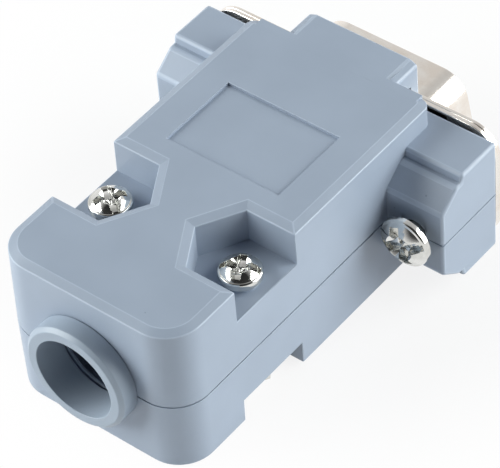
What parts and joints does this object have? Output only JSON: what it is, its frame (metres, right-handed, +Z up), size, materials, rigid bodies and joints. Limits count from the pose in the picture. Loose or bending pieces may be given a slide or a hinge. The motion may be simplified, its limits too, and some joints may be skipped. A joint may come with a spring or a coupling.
{
  "type": "d-sub cable connector",
  "caption": "D-shaped socket connector on a cable end, in a two-part grey plastic hood with side wings, captive jackscrews, six-sided screw pockets and a round cable entry.",
  "frame": {"origin": "on the connector's axis, on the front face of its flange, where it meets its mate", "axes": "+Y along the connector's axis towards its mate, +Z up from the face the hood lies on, +X to the right seen from the cable"},
  "size_m": [0.031, 0.0444, 0.016],
  "materials": {
    "hood_abs": "satin moulded",
    "bushing_abs": "satin moulded",
    "nickel_screw": "bright nickel plate",
    "tinned_steel": "tin plate",
    "zinc_clamp": "zinc plate",
    "insulator_pbt": "moulded",
    "gold_contact": "thin gold plate"
  },
  "bodies": {
    "hood": {"upper_shell": "hood_abs", "lower_shell": "hood_abs", "cable_bushing": "bushing_abs", "case_screw_left": "nickel_screw", "case_screw_right": "nickel_screw", "case_nut_left": "nickel_screw", "case_nut_right": "nickel_screw", "front_metal_shell": "tinned_steel", "rear_metal_shell": "tinned_steel", "front_insulator": "insulator_pbt", "rear_insulator": "insulator_pbt", "contact_1": "gold_contact", "contact_2": "gold_contact", "contact_3": "gold_contact", "contact_4": "gold_contact", "contact_5": "gold_contact", "contact_6": "gold_contact", "contact_7": "gold_contact", "contact_8": "gold_contact", "contact_9": "gold_contact", "cable_clamp": "zinc_clamp", "clamp_screw_left": "nickel_screw", "clamp_screw_right": "nickel_screw"},
    "jackscrew_left": {"jackscrew_left": "nickel_screw"},
    "jackscrew_right": {"jackscrew_right": "nickel_screw"}
  },
  "joints": [
    {"name": "jackscrew_left_turn", "type": "hinge", "parent": "hood", "child": "jackscrew_left", "pos_m": [-0.01249, 0, 0], "axis": [0, 1, 0], "continuous": true},
    {"name": "jackscrew_right_turn", "type": "hinge", "parent": "hood", "child": "jackscrew_right", "pos_m": [0.01249, 0, 0], "axis": [0, 1, 0], "continuous": true}
  ]
}
